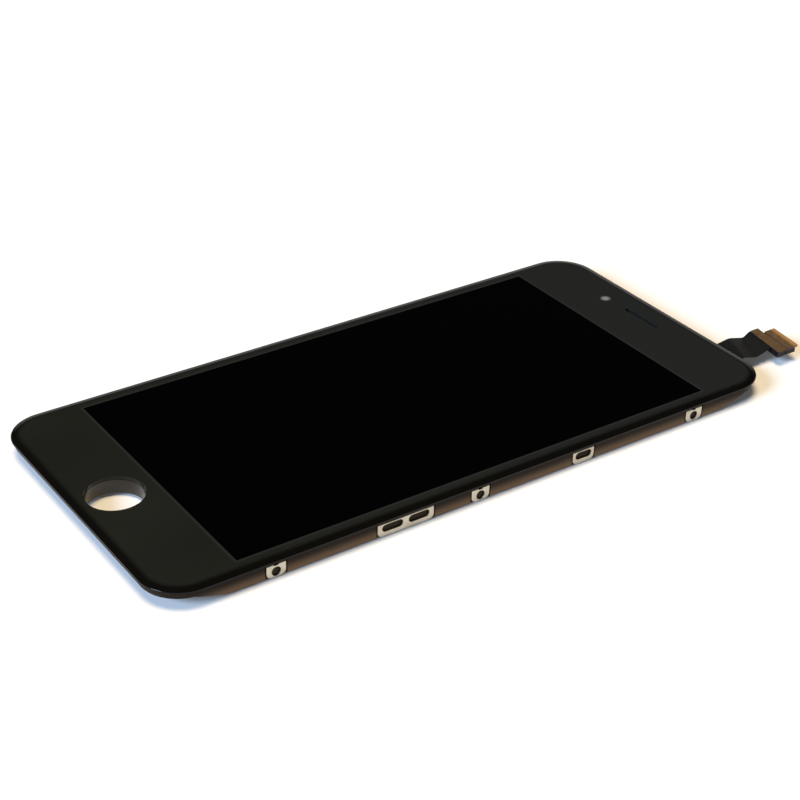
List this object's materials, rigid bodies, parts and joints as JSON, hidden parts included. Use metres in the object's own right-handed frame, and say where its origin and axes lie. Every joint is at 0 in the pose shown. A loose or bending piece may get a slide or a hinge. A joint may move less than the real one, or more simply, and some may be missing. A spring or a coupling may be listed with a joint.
{
  "type": "phone lcd screen assembly",
  "caption": "Phone display assembly: black-bordered cover glass on an LCD panel and backlight, with a moulded frame, side clips and a flex tail.",
  "frame": {"origin": "centre of the cover glass's flat front face", "axes": "+X to the phone's right side seen from the front, +Y to the earpiece end, +Z out of the screen"},
  "size_m": [0.0652, 0.1512, 0.0042],
  "materials": {
    "cover_glass": "polished, black border printed behind it",
    "black_ink": "screen-printed ink",
    "clear_adhesive": "clear",
    "polariser_film": "smoked film",
    "panel_glass": "thin panel glass",
    "black_chip": "moulded chip",
    "black_tape": "light-tight tape",
    "optical_film": "frosted film",
    "clear_acrylic": "clear moulding",
    "white_film": "white film",
    "white_moulding": "white moulding",
    "led_strip_film": "polyimide strip",
    "led_lens": "phosphor window",
    "pan_steel": "rolled, satin",
    "frame_moulding": "moulded, semi-gloss",
    "collar_moulding": "moulded, gloss",
    "clip_metal": "matt nickel plate",
    "tab_steel": "stamped, satin",
    "mesh_black": "black oxide mesh",
    "gasket_rubber": "foam rubber",
    "ring_moulding": "translucent moulding",
    "flex_black": "black coverlay",
    "touch_flex_film": "dark coverlay",
    "stiffener_brown": "polyimide stiffener",
    "connector_black": "moulded housing",
    "contact_gold": "gold flash",
    "capacitor_tan": "fired ceramic"
  },
  "bodies": {
    "root": {"cover_glass": "cover_glass", "ink_mask": "black_ink", "optical_adhesive": "clear_adhesive", "front_polariser": "polariser_film", "rear_polariser": "polariser_film", "colour_filter_glass": "panel_glass", "tft_glass": "panel_glass", "driver_chip": "black_chip", "touch_chip": "black_chip", "backlight_chip": "black_chip", "panel_tape": "black_tape", "upper_prism_film": "optical_film", "lower_prism_film": "optical_film", "diffuser_sheet": "optical_film", "light_guide": "clear_acrylic", "reflector_sheet": "white_film", "backlight_frame": "white_moulding", "led_strip": "led_strip_film", "led_row": "led_lens", "backlight_pan": "pan_steel", "bezel_frame": "frame_moulding", "home_button_collar": "collar_moulding", "lower_clip_left": "clip_metal", "double_slot_clip_left": "clip_metal", "middle_clip_left": "clip_metal", "single_slot_clip_left": "clip_metal", "upper_clip_left": "clip_metal", "lower_clip_right": "clip_metal", "double_slot_clip_right": "clip_metal", "middle_clip_right": "clip_metal", "single_slot_clip_right": "clip_metal", "upper_clip_right": "clip_metal", "screw_tab_left": "tab_steel", "screw_tab_right": "tab_steel", "hinge_tab_left": "tab_steel", "hinge_tab_right": "tab_steel", "earpiece_mesh": "mesh_black", "earpiece_gasket": "gasket_rubber", "camera_ring": "ring_moulding", "display_flex": "flex_black", "touch_flex": "touch_flex_film", "display_stiffener": "stiffener_brown", "touch_stiffener": "stiffener_brown", "display_connector": "connector_black", "touch_connector": "connector_black", "display_contacts": "contact_gold", "touch_contacts": "contact_gold", "flex_capacitors": "capacitor_tan"}
  },
  "joints": []
}
